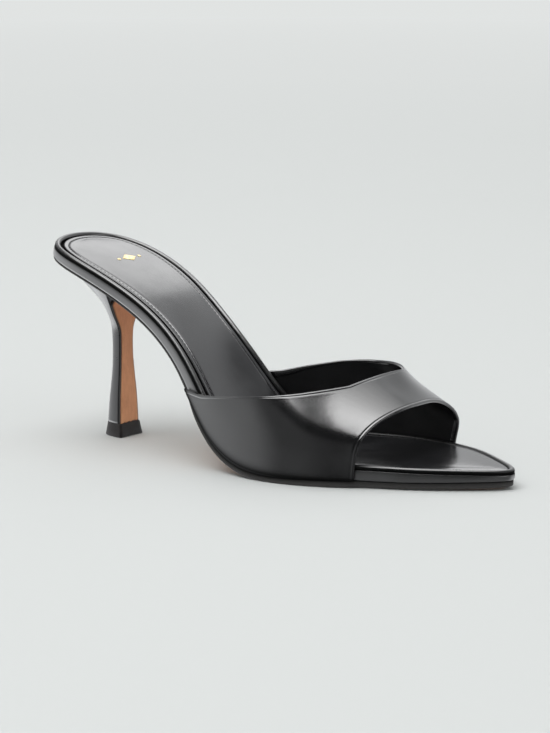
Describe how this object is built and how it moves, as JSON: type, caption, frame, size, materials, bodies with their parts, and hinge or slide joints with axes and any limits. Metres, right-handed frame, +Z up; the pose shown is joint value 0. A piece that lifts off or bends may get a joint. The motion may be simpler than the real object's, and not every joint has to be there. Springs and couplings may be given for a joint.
{
  "type": "high-heeled peep-toe mule",
  "caption": "High-heeled backless mule for the right foot, with a pointed leather platform, an arched vamp open at the toes, and a slim flared heel.",
  "frame": {"origin": "middle of the shoe's bounding box, on the ground", "axes": "+X from the heel to the toe, +Y to the medial (big-toe) side, +Z up"},
  "size_m": [0.2372, 0.0836, 0.0901],
  "materials": {
    "outsole": "smooth sole leather with a black inked edge, natural tan underneath",
    "platform_leather": "black smooth leather, satin",
    "sock_leather": "black smooth leather, satin, padded",
    "upper_leather": "black smooth leather, polished",
    "heel_leather": "black smooth leather drawn over the heel, polished",
    "natural_leather": "natural tan sole leather, matt",
    "top_piece": "hard black rubber, matt"
  },
  "bodies": {
    "root": {"outsole": "outsole", "platform": "platform_leather", "sock": "sock_leather", "upper": "upper_leather", "heel": "heel_leather", "breast_cover": "natural_leather", "top_piece": "top_piece"}
  },
  "joints": []
}
